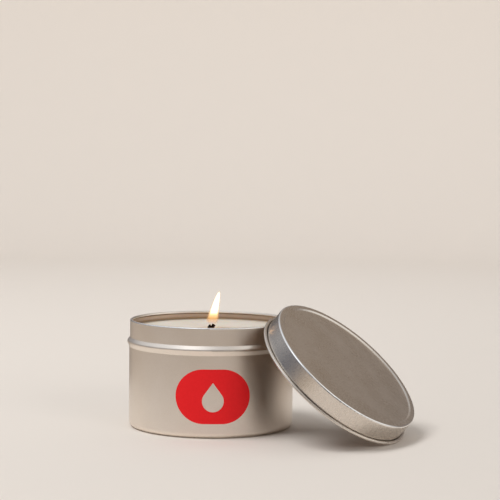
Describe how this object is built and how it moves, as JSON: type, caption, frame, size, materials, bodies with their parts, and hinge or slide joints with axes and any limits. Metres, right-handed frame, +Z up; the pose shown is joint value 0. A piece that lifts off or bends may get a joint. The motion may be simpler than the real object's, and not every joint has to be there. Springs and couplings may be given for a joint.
{
  "type": "candle tin with slip lid",
  "caption": "Round tinplate candle tin with an outward bead, a cream wax candle and flat wick, and its slip lid leaning on the rim.",
  "frame": {"origin": "centre of the tin's base, on the surface that the tin stands on", "axes": "+Z up along the tin's axis, -Y towards the side with the printed mark, +X towards the side where the lid leans (the lean direction is 27.2 degrees from +X towards -Y)"},
  "size_m": [0.1327, 0.108, 0.0585],
  "materials": {
    "tinplate": "satin tinplate with a fine grain",
    "lid_tinplate": "satin tinplate with a fine grain",
    "wax": "smooth cream candle wax, slightly translucent",
    "wick_cotton": "flat braided cotton, charred at the tip",
    "tab_steel": "bright pressed steel",
    "sticker_foam": "white double-sided foam tape",
    "mark_red": "flat red print"
  },
  "bodies": {
    "candle": {"tin_body": "tinplate", "wax": "wax", "wick": "wick_cotton", "wick_tab": "tab_steel", "tab_sticker": "sticker_foam", "front_mark": "mark_red"},
    "loose_lid": {"lid": "lid_tinplate"}
  },
  "joints": [
    {"name": "lid_swing", "type": "hinge", "parent": "candle", "child": "loose_lid", "pos_m": [-0.00078, 0.0004, -0.04677], "axis": [-0.4571, -0.8894, 0], "range_deg": [0, 41]}
  ]
}
